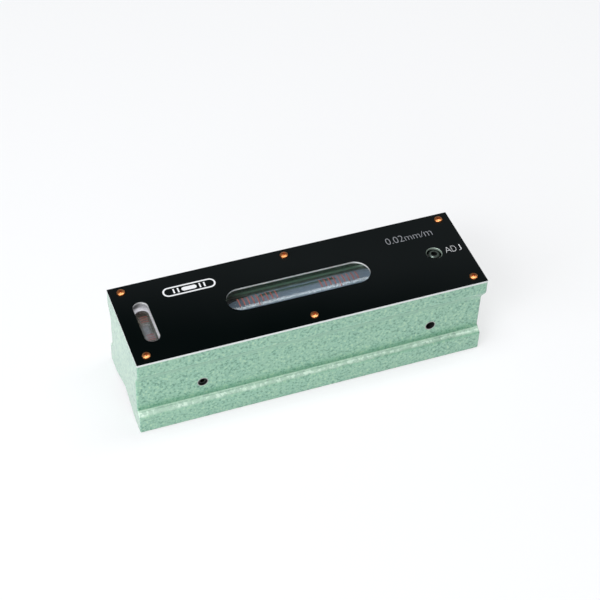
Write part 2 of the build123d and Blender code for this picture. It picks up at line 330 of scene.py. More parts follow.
@dataclass(frozen=True)
class HammerPaint(Finish):
    """Light green hammertone paint over cast iron, with the machined places left bare.

    Each span of a mask is counted from the edge that its method names with it.
    """

    green: Colour = srgb(132, 180, 154)
    fleck: Colour = srgb(80, 134, 112)
    pale: Colour = srgb(164, 202, 168)
    # Paint run together at the waist's foot, darkened further as painted shade in that corner.
    pooled_shade: Colour = srgb(100, 166, 124)
    # Lighter green, painted light on the waist's neck under the flange.
    worn_and_lit: Colour = srgb(190, 222, 204)
    # Near white: painted highlight on the ledge and on the foot's rounded edge.
    painted_highlight: Colour = srgb(230, 250, 234)
    inner: Colour = srgb(122, 164, 142)
    inner_shade: Colour = srgb(30, 66, 44)
    smear: Colour = (0.76, 0.75, 0.72)
    # Near black: painted shade inside the side holes' bores.
    recess_shade: Colour = (0.012, 0.013, 0.013)
    iron: Colour = (0.50, 0.50, 0.49)
    iron_shade: Colour = (0.38, 0.38, 0.375)
    skin: Grain = Grain(900.0, 3.0, 0.62)
    cells: Grain = Grain(1100.0, 1.0, 0.5)
    clouds: Grain = Grain(75.0, 2.0, 0.5)
    glint_breakup: Grain = Grain(520.0, 3.0, 0.6, (1.0, 1.0, 0.7))
    scratches: Grain = Grain(90.0, 3.0, 0.7, (1.0, 60.0, 1.0))
    fleck_span: Span = (0.50, 0.34)
    pale_span: Span = (0.53, 0.70)
    cloud_span: Span = (0.40, 0.65)
    glint_breakup_span: Span = (0.44, 0.60)
    waist_y: float = 18.5 * MM
    step_y: float = 19.7 * MM
    ledge_z: float = 11.0 * MM
    neck_share: float = 0.28
    neck_low: Span = (26.8 * MM, 28.8 * MM)
    neck_high: Span = (32.9 * MM, 32.1 * MM)
    neck_end: Span = (74.8 * MM, 74.6 * MM)
    pool_shade_share: Span = (0.04, 0.24)
    pool_shade_low: Span = (-0.8 * MM, -0.6 * MM)
    pool_shade_high: Span = (2.2 * MM, 0.4 * MM)
    pool_shade_wall: Span = (-0.1 * MM, -0.05 * MM)
    pool_shade_edge: Span = (-0.3 * MM, -0.55 * MM)
    strip_share: Span = (0.30, 0.75)
    strip_low: Span = (-1.0 * MM, -0.7 * MM)
    strip_high: Span = (0.2 * MM, 0.05 * MM)
    strip_wall: Span = (-0.5 * MM, -0.3 * MM)
    strip_edge: Span = (0.04 * MM, 0.01 * MM)
    glint_share: Span = (0.52, 1.12)
    glint_low: Span = (-2.3 * MM, -1.2 * MM)
    glint_high: Span = (0.3 * MM, 0.1 * MM)
    glint_wall: Span = (0.01 * MM, 0.04 * MM)
    glint_full: Span = (0.2 * MM, 0.75 * MM)
    glint_edge: Span = (22.3 * MM, 20.5 * MM)
    glint_slant: float = 0.006
    pocket_reach: Point3 = (72.0 * MM, 15.6 * MM, 12.3 * MM)
    pocket_wall: Span = (0.05 * MM, 0.0)
    pocket_floor: Span = (0.0, 0.05 * MM)
    shade_low: Span = (32.6 * MM, 33.3 * MM)
    shade_high: Span = (35.6 * MM, 34.9 * MM)
    smear_span: Span = (-57.0 * MM, -57.1 * MM)
    left_hole: Point2 = (-47.3 * MM, 17.9 * MM)
    right_hole: Point2 = (52.6 * MM, 17.7 * MM)
    bore_span: Span = (2.03 * MM, 2.01 * MM)
    mouth_span: Span = (2.35 * MM, 2.3 * MM)
    mouth_depth: Span = (18.0 * MM, 18.2 * MM)
    ground_tilt: Span = (-0.55, -0.75)
    ground_high: Span = (6.0 * MM, 5.5 * MM)
    relief: Point2 = (0.07 * MM, 0.5)
    roughness: float = 0.42

    def _neck(self, at: Spot) -> Signal:
        """Return where the waist runs out to the flange."""
        return at.z.rise(self.neck_low) * at.z.rise(self.neck_high) * abs(at.x).rise(self.neck_end)

    def _pool_shade(self, at: Spot) -> Signal:
        """Return where the paint has run together at the waist's foot, with painted shade in that
        corner.
        """
        out = at.depth.rise(self.pool_shade_wall, self.waist_y) * at.depth.rise(self.pool_shade_edge, self.step_y)
        return out * at.z.band(self.pool_shade_low, self.pool_shade_high, self.ledge_z)

    def _ledge_highlight(self, at: Spot) -> Signal:
        """Return the ledge's strip, painted lighter as painted light on its upward face."""
        ledge = at.z.band(self.strip_low, self.strip_high, self.ledge_z)
        return ledge * at.depth.band(self.strip_wall, self.strip_edge, self.step_y)

    def _edge_highlight(self, at: Spot) -> Signal:
        """Return the band of painted highlights on the foot's rounded edge, which narrows a little along
        the level.

        Args:
            at: The point.

        Returns:
            The mask.
        """
        edge = (at.depth + at.x * self.glint_slant).rise(self.glint_edge)
        edge = edge * at.depth.rise(self.glint_full, self.step_y).between(0.5, 1.0)
        edge = edge * at.z.band(self.glint_low, self.glint_high, self.ledge_z)
        return edge * at.depth.rise(self.glint_wall, self.step_y)

    def _pocket(self, at: Spot) -> Signal:
        """Return the walls and floor of the pockets under the plate."""
        reach_x, reach_y, reach_z = self.pocket_reach
        walls = at.depth.rise(self.pocket_wall, reach_y) * abs(at.x).rise(self.pocket_wall, reach_x)
        return walls * at.z.rise(self.pocket_floor, reach_z)

    def _from_hole(self, at: Spot) -> Signal:
        """Return the distance from the axis of the nearer side hole."""
        left, right = ((at.x - x).hypot(at.z - z) for x, z in (self.left_hole, self.right_hole))
        return left.least(right)

    def _paint(self, tree: ShaderTree, at: Spot, skin: Signal, cells: Signal) -> Signal:
        """Return the paint's green, mottled, with pooled paint and painted shade at the waist's foot,
        painted light on the ledge and painted highlights on the foot's edge.

        Args:
            tree: The material's node tree.
            at: The point.
            skin: Noise of the fine mottling.
            cells: Noise of the paint's cells.

        Returns:
            The colour.
        """
        colour = tree.mix(skin.rise(self.fleck_span) * 0.95, self.green, self.fleck)
        colour = tree.mix(skin.rise(self.pale_span) * 0.95, colour, self.pale)
        colour = tree.mix(tree.noise(self.clouds).rise(self.cloud_span) * 0.12, colour, self.pale)
        # Pooled paint and painted shade at the waist's foot.
        colour = tree.mix(self._pool_shade(at) * cells.between(*self.pool_shade_share), colour, self.pooled_shade)
        # Painted light on the ledge's upward face.
        colour = tree.mix(self._ledge_highlight(at) * cells.between(*self.strip_share), colour, self.painted_highlight)
        # Broken painted highlights on the foot's rounded edge.
        glint_breakup = tree.noise(self.glint_breakup).rise(self.glint_breakup_span)
        return tree.mix(self._edge_highlight(at) * glint_breakup.between(*self.glint_share), colour, self.painted_highlight)

    def build(self, tree: ShaderTree) -> Signal:
        """Mix the paint with the pockets' darker one and its painted shade under the plate, the holes'
        painted shade and the bare iron.

        Args:
            tree: The material's node tree.

        Returns:
            The shader.
        """
        x, y, z = tree.parts(tree.place)
        at = Spot(x, abs(y), z)
        skin, cells = tree.noise(self.skin), tree.noise(self.cells)
        hole = self._from_hole(at)
        bore = hole.rise(self.bore_span)
        dark = self._pocket(at).most(bore)
        wall = tree.mix(z.band(self.shade_low, self.shade_high), self.inner, self.inner_shade)
        wall = tree.mix(x.rise(self.smear_span), wall, self.smear)
        neck = self._neck(at)
        # The neck under the flange is painted lighter, painted light against the shade there.
        paint = tree.mix(neck * self.neck_share, self._paint(tree, at, skin, cells), self.worn_and_lit)
        # The side holes' bores are painted near black, painted shade inside them.
        paint = tree.mix(dark, paint, tree.mix(bore, wall, self.recess_shade))
        ground = tree.parts(tree.facing)[2].rise(self.ground_tilt) * z.rise(self.ground_high)
        mouth = hole.rise(self.mouth_span) * at.depth.rise(self.mouth_depth)
        bare = ground.most(mouth * (1.0 - bore))
        iron = tree.mix(tree.noise(self.scratches), self.iron_shade, self.iron)
        return tree.principled(
            Base_Color=tree.mix(bare, paint, iron),
            Metallic=bare,
            Roughness=skin.about(self.roughness, 0.12) - bare * 0.08,
            Coat_Weight=(1.0 - bare) * (1.0 - dark * 0.8) * (1.0 - neck * 0.9),
            Coat_Roughness=0.22,
            Normal=tree.bump(skin * (1.0 - bare) + cells * 0.3, *self.relief),
        )


@dataclass(frozen=True)
class BlackPlate(Finish):
    """Satin black coat on the plate's faces, with its cut edges left bright."""

    black: Colour = (0.0008, 0.0022, 0.0022)
    # Lighter black: the coat's clouds, and painted reflection towards the back and right.
    cloudy_sheen: Colour = (0.0082, 0.0102, 0.0106)
    metal: Colour = (0.80, 0.82, 0.81)
    milled: Colour = (0.62, 0.64, 0.63)
    # Darker grey-green for the metal round the adjuster's mouth.
    mouth_grey_green: Colour = (0.31, 0.38, 0.33)
    specks: Grain = Grain(2600.0, 2.0, 0.6)
    clouds: Grain = Grain(28.0, 2.0, 0.5)
    mill: Grain = Grain(500.0, 2.0, 0.6, (1.0, 1.0, 14.0))
    sheen_lean: float = 4.0
    sheen_span: Span = (-110.0 * MM, 70.0 * MM)
    mouth_x: float = 60.2 * MM
    mouth_radius: float = 3.45 * MM
    mouth_edge: Span = (0.05 * MM, 0.0)
    mouth_tilt: Span = (0.97, 0.90)
    mouth_grey_edge: Span = (0.2 * MM, 0.1 * MM)
    cut_tilt: Span = (0.45, 0.35)
    relief: Point2 = (0.004 * MM, 0.5)
    roughness: float = 0.30

    def build(self, tree: ShaderTree) -> Signal:
        """Coat the flat faces, and leave the cut edges and the adjuster's mouth bare.

        Args:
            tree: The material's node tree.

        Returns:
            The shader.
        """
        x, y, _ = tree.parts(tree.place)
        up = abs(tree.parts(tree.facing)[2])
        radius = (x - self.mouth_x).hypot(y)
        mouth = radius.rise(self.mouth_edge, self.mouth_radius) * up.rise(self.mouth_tilt)
        bare = up.rise(self.cut_tilt).most(mouth)
        specks = tree.noise(self.specks)
        # The plate is painted lighter towards the back and right, painted reflection.
        painted_sheen = (x + y * self.sheen_lean).rise(self.sheen_span)
        cloud_and_sheen = painted_sheen * 0.85 + tree.noise(self.clouds) * 0.3 - 0.05
        metal = tree.mix(tree.noise(self.mill), self.milled, self.metal)
        # The bare metal right round the adjuster's mouth is a darker grey-green.
        metal = tree.mix(radius.rise(self.mouth_grey_edge, self.mouth_radius), metal, self.mouth_grey_green)
        return tree.principled(
            Base_Color=tree.mix(bare, tree.mix(cloud_and_sheen, self.black, self.cloudy_sheen), metal),
            Metallic=bare * 0.4,
            Roughness=specks.about(self.roughness, 0.08) + bare * 0.1,
            Specular_IOR_Level=0.02,
            Normal=tree.bump(specks, *self.relief),
        )


@dataclass(frozen=True)
class TurnedMetal(Finish):
    """Turned metal with fine streaks round it and a soft tarnish."""

    tone: Colour
    shade: Colour
    roughness: float
    streaks: Grain = Grain(1500.0, 3.0, 0.6, (1.0, 1.0, 6.0))
    tarnish: Grain = Grain(420.0, 2.0, 0.5)
    tarnish_span: Span = (0.35, 0.7)
    relief: Point2 = (0.010 * MM, 0.4)

    def build(self, tree: ShaderTree) -> Signal:
        """Streak and tarnish the metal.

        Args:
            tree: The material's node tree.

        Returns:
            The shader.
        """
        streaks = tree.noise(self.streaks)
        tarnish = tree.noise(self.tarnish).rise(self.tarnish_span)
        return tree.principled(
            Base_Color=tree.mix(tarnish * 0.6, self.tone, self.shade),
            Metallic=1.0,
            Roughness=streaks.about(self.roughness, 0.16),
            Normal=tree.bump(streaks, *self.relief),
        )


@dataclass(frozen=True)
class SocketHead(Finish):
    """Dull steel head of the adjusting screw, with its hexagon socket painted black inside as painted
    shade.
    """

    steel: Colour = srgb(112, 124, 118)
    # Darker steel where it is worn, in random patches.
    worn_and_lit: Colour = srgb(80, 92, 86)
    # Near black: painted shade inside the hexagon socket.
    recess_shade: Colour = (0.006, 0.007, 0.007)
    wear: Grain = Grain(1800.0, 2.0, 0.6)
    wear_span: Span = (0.4, 0.7)
    axis_x: float = 60.2 * MM
    socket_radius: Span = (1.5 * MM, 1.45 * MM)
    socket_depth: Span = (40.28 * MM, 40.18 * MM)
    relief: Point2 = (0.01 * MM, 0.3)
    roughness: float = 0.38

    def build(self, tree: ShaderTree) -> Signal:
        """Paint the steel black where the socket goes down, as painted shade in the socket.

        Args:
            tree: The material's node tree.

        Returns:
            The shader.
        """
        x, y, z = tree.parts(tree.place)
        inside = (x - self.axis_x).hypot(y).rise(self.socket_radius) * z.rise(self.socket_depth)
        wear = tree.noise(self.wear)
        steel = tree.mix(wear.rise(self.wear_span) * 0.6, self.steel, self.worn_and_lit)
        return tree.principled(
            Base_Color=tree.mix(inside, steel, self.recess_shade),
            Metallic=inside.between(0.85, 0.0),
            Roughness=wear.about(self.roughness, 0.2),
            Normal=tree.bump(wear, *self.relief),
        )


@dataclass(frozen=True)
class Fade:
    """A second tint that glass takes on away from a middle, along one axis."""

    axis: Axis
    middle: float
    span: Span
    tint: Colour


@dataclass(frozen=True)
class ClearGlass(Finish):
    """Clear glass or spirit, a little uneven in its tint, which may fade into other tints."""

    tint: Colour
    index: float
    fades: tuple[Fade, ...] = ()
    draw: Grain = Grain(260.0, 1.0, 0.5, (0.15, 1.0, 1.0))
    thick: float = 0.94

    def build(self, tree: ShaderTree) -> Signal:
        """Tint the glass.

        Args:
            tree: The material's node tree.

        Returns:
            The shader.
        """
        thick = tuple(self.thick * value for value in self.tint)
        colour = tree.mix(tree.noise(self.draw) * 0.25, self.tint, thick)
        for fade in self.fades:
            away = abs(tree.parts(tree.place)[fade.axis.value] - fade.middle)
            colour = tree.mix(away.rise(fade.span), colour, fade.tint)
        return tree.principled(Base_Color=colour, Roughness=0.0, IOR=self.index, Transmission_Weight=1.0)


@dataclass(frozen=True)
class SetPlaster(Finish):
    """Matt white plaster with grains and small pits, with a narrow dark strip along the cross vial,
    painted shade beside the vial's glass wall.
    """

    white: Colour = (0.88, 0.87, 0.92)
    shade: Colour = (0.72, 0.71, 0.76)
    # Dark olive: painted shade beside the cross vial's glass wall.
    edge_shadow: Colour = (0.20, 0.20, 0.16)
    grains: Grain = Grain(1100.0, 4.0, 0.65)
    lumps: Grain = Grain(330.0, 2.0, 0.5)
    grain_span: Span = (0.35, 0.6)
    edge_shadow_share: float = 0.85
    vial_edge_x: float = -60.75 * MM
    edge_shadow_near: Span = (0.0, 0.05 * MM)
    edge_shadow_far: Span = (0.85 * MM, 0.65 * MM)
    edge_shadow_end: Span = (7.0 * MM, 2.0 * MM)
    relief: Point2 = (0.25 * MM, 0.8)

    def build(self, tree: ShaderTree) -> Signal:
        """Shade the plaster's grains and paint the dark strip of painted shade beside the cross vial.

        Args:
            tree: The material's node tree.

        Returns:
            The shader.
        """
        x, y, _ = tree.parts(tree.place)
        grains = tree.noise(self.grains)
        # The strip beside the cross vial is painted dark, painted shade of the vial's glass wall.
        strip = (x - self.vial_edge_x).band(self.edge_shadow_near, self.edge_shadow_far) * y.rise(self.edge_shadow_end)
        plain = tree.mix(grains.rise(self.grain_span), self.shade, self.white)
        return tree.principled(
            Base_Color=tree.mix(strip * self.edge_shadow_share, plain, self.edge_shadow),
            Roughness=0.88,
            Specular_IOR_Level=0.2,
            Normal=tree.bump(grains * 0.4 + tree.noise(self.lumps) * 0.6, *self.relief),
        )


@dataclass(frozen=True)
class CarrierPaint(Finish):
    """Dark painted casting whose trough is pale inside, to show the marks on the vial."""

    casting: Colour = srgb(58, 74, 64)
    casting_pale: Colour = srgb(86, 104, 92)
    trough: Colour = srgb(180, 194, 206)
    trough_shade: Colour = srgb(158, 172, 184)
    skin: Grain = Grain(700.0, 3.0, 0.6)
    casting_span: Span = (0.35, 0.65)
    trough_span: Span = (0.4, 0.7)
    vial_z: float = 30.9 * MM
    trough_radius: Span = (8.02 * MM, 7.96 * MM)
    trough_end: Span = (44.4 * MM, 44.25 * MM)
    trough_rim: Span = (32.86 * MM, 32.80 * MM)
    relief: Point2 = (0.08 * MM, 0.5)
    roughness: float = 0.55

    def build(self, tree: ShaderTree) -> Signal:
        """Paint the casting, and the trough inside its radius.

        Args:
            tree: The material's node tree.

        Returns:
            The shader.
        """
        x, y, z = tree.parts(tree.place)
        inside = y.hypot(z - self.vial_z).rise(self.trough_radius)
        inside = inside * abs(x).rise(self.trough_end) * z.rise(self.trough_rim)
        skin = tree.noise(self.skin)
        casting = tree.mix(skin.rise(self.casting_span), self.casting, self.casting_pale)
        pale = tree.mix(skin.rise(self.trough_span) * 0.5, self.trough, self.trough_shade)
        return tree.principled(
            Base_Color=tree.mix(inside, casting, pale),
            Roughness=skin.about(self.roughness, 0.15),
            Normal=tree.bump(skin, *self.relief),
        )


@dataclass(frozen=True)
class Ink(Finish):
    """Filled or printed ink, with thinner specks in it."""

    colour: Colour
    thin: Colour
    roughness: float = 0.5
    specks: Grain = Grain(2400.0, 2.0, 0.6)
    thin_span: Span = (0.52, 0.7)

    def build(self, tree: ShaderTree) -> Signal:
        """Speck the ink.

        Args:
            tree: The material's node tree.

        Returns:
            The shader.
        """
        specks = tree.noise(self.specks)
        return tree.principled(
            Base_Color=tree.mix(specks.rise(self.thin_span) * 0.5, self.colour, self.thin),
            Roughness=specks.about(self.roughness, 0.1),
            Specular_IOR_Level=0.3,
        )


@dataclass(frozen=True)
class StudioFloor(Finish):
    """Plain white studio floor that keeps the level's soft shadow."""

    white: Colour = (0.87, 0.89, 0.92)
    bright: Colour = (1.0, 1.0, 1.0)
    glow: float = 0.6
    glow_rays: tuple[str, ...] = ("Is Camera Ray", "Is Glossy Ray", "Is Transmission Ray")

    def build(self, tree: ShaderTree) -> Signal:
        """Make the matt floor whiter where it is looked at, mirrored or seen through glass.

        Args:
            tree: The material's node tree.

        Returns:
            The shader.
        """
        matt = tree.principled(Base_Color=self.white, Roughness=0.9, Specular_IOR_Level=0.0)
        plain = tree.node("ShaderNodeEmission", values={"Color": self.bright, "Strength": 1.0})
        seen, *others = (tree.node("ShaderNodeLightPath", output=ray) for ray in self.glow_rays)
        for other in others:
            seen = seen.most(other)
        return tree.node("ShaderNodeMixShader", values={0: seen * self.glow, 1: matt, 2: plain})


def dress(finish: Finish, *nodes: str) -> None:
    """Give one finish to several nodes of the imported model.

    Args:
        finish: The finish.
        nodes: Names of the nodes.
    """
    material = finish.material()
    for name in nodes:
        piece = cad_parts[name]
        if not piece.material_slots:
            piece.data.materials.append(material)
        for place in piece.material_slots:
            place.material = material
        LOG.info("dressed %s in %s", name, finish.name)


def let_light_through(*pieces: bpy.types.Object) -> None:
    """Let the light pass clear pieces straight through, with no shadow or caustic of their own.

    Args:
        pieces: The clear pieces.
    """
    for piece in pieces:
        piece.visible_shadow = False
        piece.visible_diffuse = False


def add_piece(
    name: str,
    mesh: bpy.types.Mesh,
    material: bpy.types.Material,
    body: Body | None,
) -> bpy.types.Object:
    """Add a mesh to the scene as a piece of the level.

    Args:
        name: The piece's name.
        mesh: Its mesh, in the model's frame.
        material: Its finish.
        body: The body that it rides on, or None for a piece that joins two.

    Returns:
        The piece.
    """
    mesh.name = name
    mesh.materials.clear()
    mesh.materials.append(material)
    piece = bpy.data.objects.new(name, mesh)
    bpy.context.scene.collection.objects.link(piece)
    if body:
        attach(piece, body.value)
    LOG.info("added %s with %d faces", name, len(mesh.polygons))
    return piece


@dataclass
class CastBody:
    """The casting and what stands in its side holes."""

    paint: Finish = HammerPaint("hammer_paint")
    grub_steel: Finish = TurnedMetal(
        "grub_screw_steel", tone=(0.07, 0.075, 0.072), shade=(0.025, 0.027, 0.026), roughness=0.42
    )

    def build(self) -> None:
        """Paint the casting and finish its set screws."""
        dress(self.paint, "body")
        dress(self.grub_steel, "pivot_set_screws", "side_set_screws")


@dataclass
class Outline:
    """Closed flat outlines that are filled, raised a little and laid on a face."""

    outlines: list[list[Point2]] = field(default_factory=list)

    def stadium(self, centre: Point2, length: float, width: float, steps: int = 14) -> None:
        """Add a bar with round ends, lying along X.

        Args:
            centre: Its middle.
            length: Its whole length.
            width: Its width.
            steps: Number of points round each end.
        """
        radius = width / 2
        reach = length / 2 - radius
        points = []
        for side in (1, -1):
            for step in range(steps + 1):
                angle = math.radians(-90 + 180 * step / steps)
                x = side * (reach + radius * math.cos(angle))
                y = side * radius * math.sin(angle)
                points.append((centre[0] + x, centre[1] + y))
        self.outlines.append(points)

    def bar(self, centre: Point2, width: float, height: float) -> None:
        """Add an upright rectangle.

        Args:
            centre: Its middle.
            width: Its size along X.
            height: Its size along Y.
        """
        x, y = centre
        signs = ((-1, -1), (1, -1), (1, 1), (-1, 1))
        self.outlines.append([(x + i * width / 2, y + j * height / 2) for i, j in signs])

    def mesh(self, thickness: float) -> bpy.types.Mesh:
        """Return the filled outlines as a thin mesh that stands on z = 0.

        Args:
            thickness: How thick it is.

        Returns:
            The mesh.
        """
        curve = bpy.data.curves.new("outline", "CURVE")
        curve.dimensions = "2D"
        curve.fill_mode = "BOTH"
        for points in self.outlines:
            spline = curve.splines.new("POLY")
            spline.points.add(len(points) - 1)
            for target, (x, y) in zip(spline.points, points):
                target.co = (x, y, 0.0, 1.0)
            spline.use_cyclic_u = True
        return raised(curve, thickness)


def raised(curve: bpy.types.Curve, thickness: float) -> bpy.types.Mesh:
    """Turn a flat filled curve into a thin mesh that stands on z = 0.

    Args:
        curve: The curve or lettering; it is used up.
        thickness: How thick the mesh is.

    Returns:
        The mesh.
    """
    curve.extrude = thickness / 2
    holder = bpy.data.objects.new("raised", curve)
    bpy.context.scene.collection.objects.link(holder)
    bpy.context.view_layer.update()
    evaluated = holder.evaluated_get(bpy.context.evaluated_depsgraph_get())
    mesh = bpy.data.meshes.new_from_object(evaluated)
    mesh.transform(Matrix.Translation((0.0, 0.0, thickness / 2)))
    bpy.data.objects.remove(holder)
    bpy.data.curves.remove(curve)
    work = bmesh.new()
    work.from_mesh(mesh)
    bmesh.ops.remove_doubles(work, verts=work.verts, dist=WELD)
    bmesh.ops.triangulate(work, faces=[face for face in work.faces if len(face.verts) > 4])
    work.to_mesh(mesh)
    work.free()
    return mesh


@dataclass(frozen=True)
class Words:
    """Words, the rectangle that they fill and how much thicker their strokes are than plain ones."""

    text: str
    low: Point2
    high: Point2
    weight: float = 0.0


def lettering(rows: Iterable[Words], thickness: float, curve_steps: int = 6) -> bpy.types.Mesh:
    """Return words as one thin mesh.

    Args:
        rows: The words.
        thickness: How thick the print is.
        curve_steps: Number of steps along each curve of a letter.

    Returns:
        The mesh, standing on z = 0.
    """
    joined = bmesh.new()
    for row in rows:
        text = bpy.data.curves.new("lettering", "FONT")
        text.body = row.text
        text.offset = row.weight
        text.resolution_u = curve_steps
        mesh = raised(text, thickness)
        xs = [vertex.co.x for vertex in mesh.vertices]
        ys = [vertex.co.y for vertex in mesh.vertices]
        scale_x = (row.high[0] - row.low[0]) / (max(xs) - min(xs))
        scale_y = (row.high[1] - row.low[1]) / (max(ys) - min(ys))
        shift = Vector((row.low[0] - min(xs) * scale_x, row.low[1] - min(ys) * scale_y, 0.0))
        mesh.transform(Matrix.Translation(shift) @ Matrix.Diagonal((scale_x, scale_y, 1.0, 1.0)))
        joined.from_mesh(mesh)
        bpy.data.meshes.remove(mesh)
    mesh = bpy.data.meshes.new("lettering")
    joined.to_mesh(mesh)
    joined.free()
    return mesh


@dataclass
class CoverPlate:
    """The black plate, its screws, the panes under it and the print on it."""

    coat: Finish = BlackPlate("black_coat")
    brass: Finish = TurnedMetal(
        "screw_brass", tone=(0.80, 0.34, 0.13), shade=(0.56, 0.19, 0.06), roughness=0.40
    )
    pane: Finish = ClearGlass("window_glass", tint=(0.97, 0.98, 0.98), index=1.49)
    print_ink: Finish = Ink("print_white", colour=srgb(232, 234, 236), thin=srgb(198, 201, 204))
    thin_ink: Finish = Ink("print_grey", colour=srgb(150, 153, 158), thin=srgb(110, 113, 118))
    top_z: float = 40.5 * MM
    print_depth: float = 0.015 * MM
    sign_centre: Point2 = (-42.9 * MM, 12.8 * MM)
    sign_rings: tuple[Point2, ...] = (
        (22.4 * MM, 5.2 * MM),
        (21.0 * MM, 3.8 * MM),
        (6.4 * MM, 2.1 * MM),
    )
    sign_bar: Point2 = (0.65 * MM, 2.6 * MM)
    sign_bars_at: tuple[float, ...] = (4.6 * MM, 6.5 * MM)
    adjuster_words: tuple[Words, ...] = (
        Words("A", (65.2 * MM, -1.5 * MM), (67.8 * MM, 1.9 * MM), -0.028),
        Words("D", (68.2 * MM, -1.5 * MM), (70.2 * MM, 1.9 * MM), -0.028),
        Words("J", (71.0 * MM, -1.5 * MM), (72.4 * MM, 1.9 * MM), -0.026),
    )
    rating_words: tuple[Words, ...] = (
        Words("0.02mm", (43.5 * MM, 10.7 * MM), (58.8 * MM, 14.5 * MM), -0.018),
        Words("/", (59.1 * MM, 10.7 * MM), (60.6 * MM, 14.2 * MM), -0.020),
        Words("m", (60.9 * MM, 10.7 * MM), (64.3 * MM, 13.4 * MM), -0.018),
    )

    def _lay(self, name: str, mesh: bpy.types.Mesh, ink: bpy.types.Material) -> None:
        """Lay a print on the plate's top face."""
        mesh.transform(Matrix.Translation((0.0, 0.0, self.top_z)))
        add_piece(name, mesh, ink, Body.LEVEL)

    def _vial_sign(self) -> bpy.types.Mesh:
        """Draw the plain sign of a vial, with its bubble between two pairs of marks.

        Returns:
            The sign's mesh, standing on z = 0.
        """
        sign = Outline()
        for length, width in self.sign_rings:
            sign.stadium(self.sign_centre, length, width)
        x, y = self.sign_centre
        for side in (-1, 1):
            for reach in self.sign_bars_at:
                sign.bar((x + side * reach, y), *self.sign_bar)
        return sign.mesh(self.print_depth)

    def build(self) -> None:
        """Finish the plate's pieces and print its sign and words."""
        dress(self.coat, "cover_plate")
        dress(self.brass, "cover_screws")
        dress(self.pane, "main_window_pane", "cross_window_pane")
        let_light_through(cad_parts["main_window_pane"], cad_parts["cross_window_pane"])
        white = self.print_ink.material()
        grey = self.thin_ink.material()
        self._lay("vial_sign", self._vial_sign(), white)
        self._lay("adjuster_label", lettering(self.adjuster_words, self.print_depth), white)
        self._lay("sensitivity_label", lettering(self.rating_words, self.print_depth), grey)


@dataclass
class Graduations:
    """Curved marks on the outside of a vial."""

    radius: float
    lift: float = 0.004 * MM
    thickness: float = 0.02 * MM
    steps: int = 14
    work: bmesh.types.BMesh = field(default_factory=bmesh.new)

    def mark(self, place: Matrix, width: float, start: float, end: float) -> None:
        """Add one closed strip round the vial.

        Args:
            place: Takes the mark's own frame, with the vial's axis along X, to the model's.
            width: The strip's width along the axis.
            start: Angle from the top where it starts, in degrees, positive to +Y.
            end: Angle where it ends.
        """
        rings = []
        for step in range(self.steps + 1):
            angle = math.radians(start + (end - start) * step / self.steps)
            ring = []
            for side, outer in ((-1, 0), (1, 0), (1, 1), (-1, 1)):
                reach = self.radius + self.lift + outer * self.thickness
                point = Vector((side * width / 2, reach * math.sin(angle), reach * math.cos(angle)))
                ring.append(self.work.verts.new(place @ point))
            rings.append(ring)
        for near, far in zip(rings, rings[1:]):
            for corner in range(4):
                after = (corner + 1) % 4
                self.work.faces.new((near[corner], near[after], far[after], far[corner]))
        self.work.faces.new(rings[0])
        self.work.faces.new(rings[-1])

    def mesh(self) -> bpy.types.Mesh:
        """Join the marks.

        Returns:
            All the marks as one mesh.
        """
        bmesh.ops.recalc_face_normals(self.work, faces=self.work.faces)
        mesh = bpy.data.meshes.new("graduations")
        self.work.to_mesh(mesh)
        self.work.free()
        return mesh


@dataclass
class SpiritFill:
    """Spirit that fills a vial's bore, with a long bubble under the top of the glass."""

    radius: float
    half_length: float
    bubble_length: float
    bubble_width: float
    round_ends: bool = False
    segments: int = 128
    end_steps: int = 18

    def _stations(self) -> list[float]:
        """List the places along the axis where the section changes.

        Returns:
            The places, from one end to the other.
        """
        quarter = [math.sin(math.pi / 2 * step / self.end_steps) for step in range(self.end_steps + 1)]
        rounding = self.bubble_width / 2
        places = {0.0, self.half_length}
        places.update(self.bubble_length / 2 - rounding + rounding * share for share in quarter)
        if self.round_ends:
            places.update(self.half_length - self.radius + self.radius * share for share in quarter)
        return sorted({side * place for place in places for side in (-1, 1)})

    def _section(self, station: float) -> Point2:
        """Return the section's radius and its highest level.

        Args:
            station: Place along the axis.

        Returns:
            The radius, and the height of the spirit's surface above the axis.
        """
        radius = self.radius
        past = abs(station) - (self.half_length - self.radius)
        if self.round_ends and past > 0:
            radius = math.sqrt(max(self.radius**2 - past**2, 0.0))
        rounding = self.bubble_width / 2
        beyond = max(abs(station) - (self.bubble_length / 2 - rounding), 0.0)
        chord = math.sqrt(max(rounding**2 - beyond**2, 0.0))
        return radius, math.sqrt(self.radius**2 - chord**2)

    def mesh(self, place: Matrix) -> bpy.types.Mesh:
        """Return the spirit's closed mesh.

        Args:
            place: Takes the spirit's own frame, with its axis along X, to the model's.

        Returns:
            The mesh.
        """
        work = bmesh.new()
        rings = []
        for station in self._stations():
            radius, level = self._section(station)
            ring = []
            for step in range(self.segments):
                angle = math.tau * step / self.segments
                height = min(radius * math.cos(angle), level)
                ring.append(work.verts.new(place @ Vector((station, radius * math.sin(angle), height))))
            rings.append(ring)
        for near, far in zip(rings, rings[1:]):
            for corner in range(self.segments):
                after = (corner + 1) % self.segments
                face = work.faces.new((near[corner], near[after], far[after], far[corner]))
                face.smooth = True
        if not self.round_ends:
            work.faces.new(rings[0])
            work.faces.new(rings[-1])
        bmesh.ops.remove_doubles(work, verts=work.verts, dist=WELD)
        bmesh.ops.recalc_face_normals(work, faces=work.faces)
        mesh = bpy.data.meshes.new("spirit")
        work.to_mesh(mesh)
        work.free()
        return mesh


